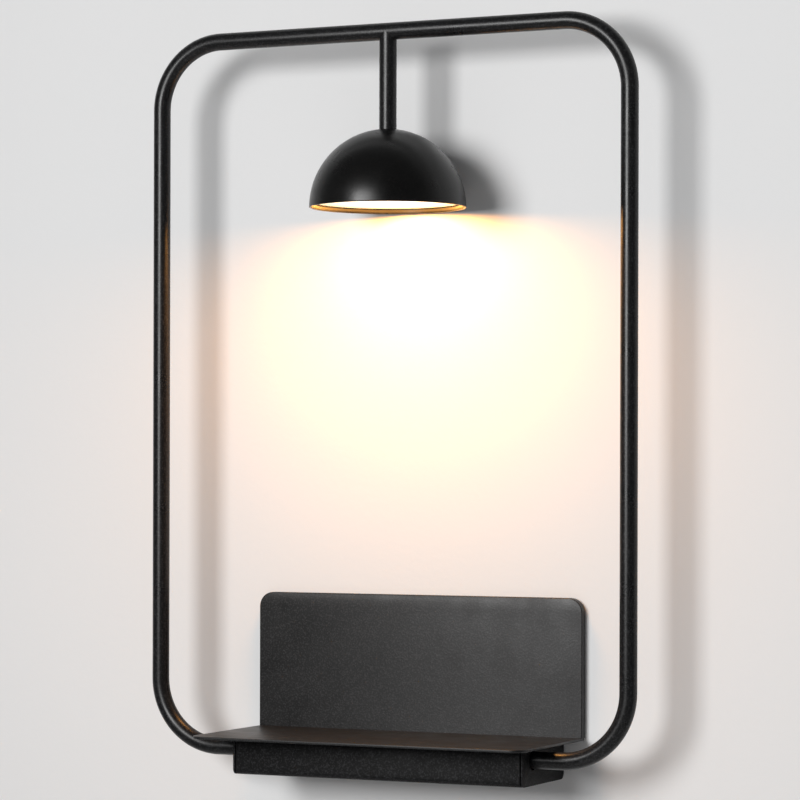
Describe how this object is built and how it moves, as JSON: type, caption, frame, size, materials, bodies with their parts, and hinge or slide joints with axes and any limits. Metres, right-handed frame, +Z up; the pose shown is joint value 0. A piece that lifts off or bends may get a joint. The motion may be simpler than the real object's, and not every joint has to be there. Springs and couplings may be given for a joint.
{
  "type": "wall lamp with shelf",
  "caption": "Black wall lamp: a rounded tube frame carries a half-dome shade on a short stem over a small shelf with an upright back, on a flat housing fixed to the wall.",
  "frame": {"origin": "midway between the two wall screws, on the face of the wall behind the bracket", "axes": "+X to the viewer's right, +Y into the wall, +Z up"},
  "size_m": [0.3906, 0.12, 0.555],
  "materials": {
    "frame_black": "fine-grained black powder coat",
    "shade_black": "satin black powder coat",
    "shelf_black": "fine-grained black powder coat",
    "housing_black": "fine-grained black powder coat",
    "opal_white": "opal, lit from behind",
    "reflector_white": "white",
    "board_white": "white solder mask",
    "chip_yellow": "phosphor",
    "sink_aluminium": "turned",
    "zinc_steel": "zinc plated",
    "brass_thread": "plain",
    "driver_white": "moulded",
    "foam_grey": "foam",
    "pad_rubber": "matt",
    "block_white": "moulded",
    "wire_brown": "insulated lead",
    "wire_blue": "insulated lead",
    "wire_green": "insulated lead",
    "cable_black": "insulated lead"
  },
  "bodies": {
    "root": {"frame_tube": "frame_black", "joint_sleeve": "zinc_steel", "drop_stem": "frame_black", "shade_dome": "shade_black", "stem_nipple": "brass_thread", "stem_bush": "zinc_steel", "dome_washer": "zinc_steel", "dome_nut": "brass_thread", "sink_lock_nut": "brass_thread", "heat_sink": "sink_aluminium", "led_board": "board_white", "led_chips": "chip_yellow", "reflector": "reflector_white", "led_screws": "zinc_steel", "opal_diffuser": "opal_white", "shelf_plate": "shelf_black", "back_cover": "shelf_black", "hanging_rail": "zinc_steel", "end_plate_left": "housing_black", "end_plate_right": "housing_black", "housing_cover": "housing_black", "cover_screws": "zinc_steel", "wall_bracket": "zinc_steel", "cable_grommet": "pad_rubber", "fixing_screws": "zinc_steel", "tube_clamp_left": "zinc_steel", "tube_clamp_right": "zinc_steel", "tube_pad_left": "pad_rubber", "tube_pad_right": "pad_rubber", "weld_studs": "zinc_steel", "stud_nuts": "zinc_steel", "driver_case": "driver_white", "driver_pad": "foam_grey", "terminal_block": "block_white", "terminal_screws": "brass_thread", "live_wire": "wire_brown", "neutral_wire": "wire_blue", "earth_wire": "wire_green", "earth_lug": "zinc_steel", "led_cable": "cable_black"}
  },
  "joints": []
}
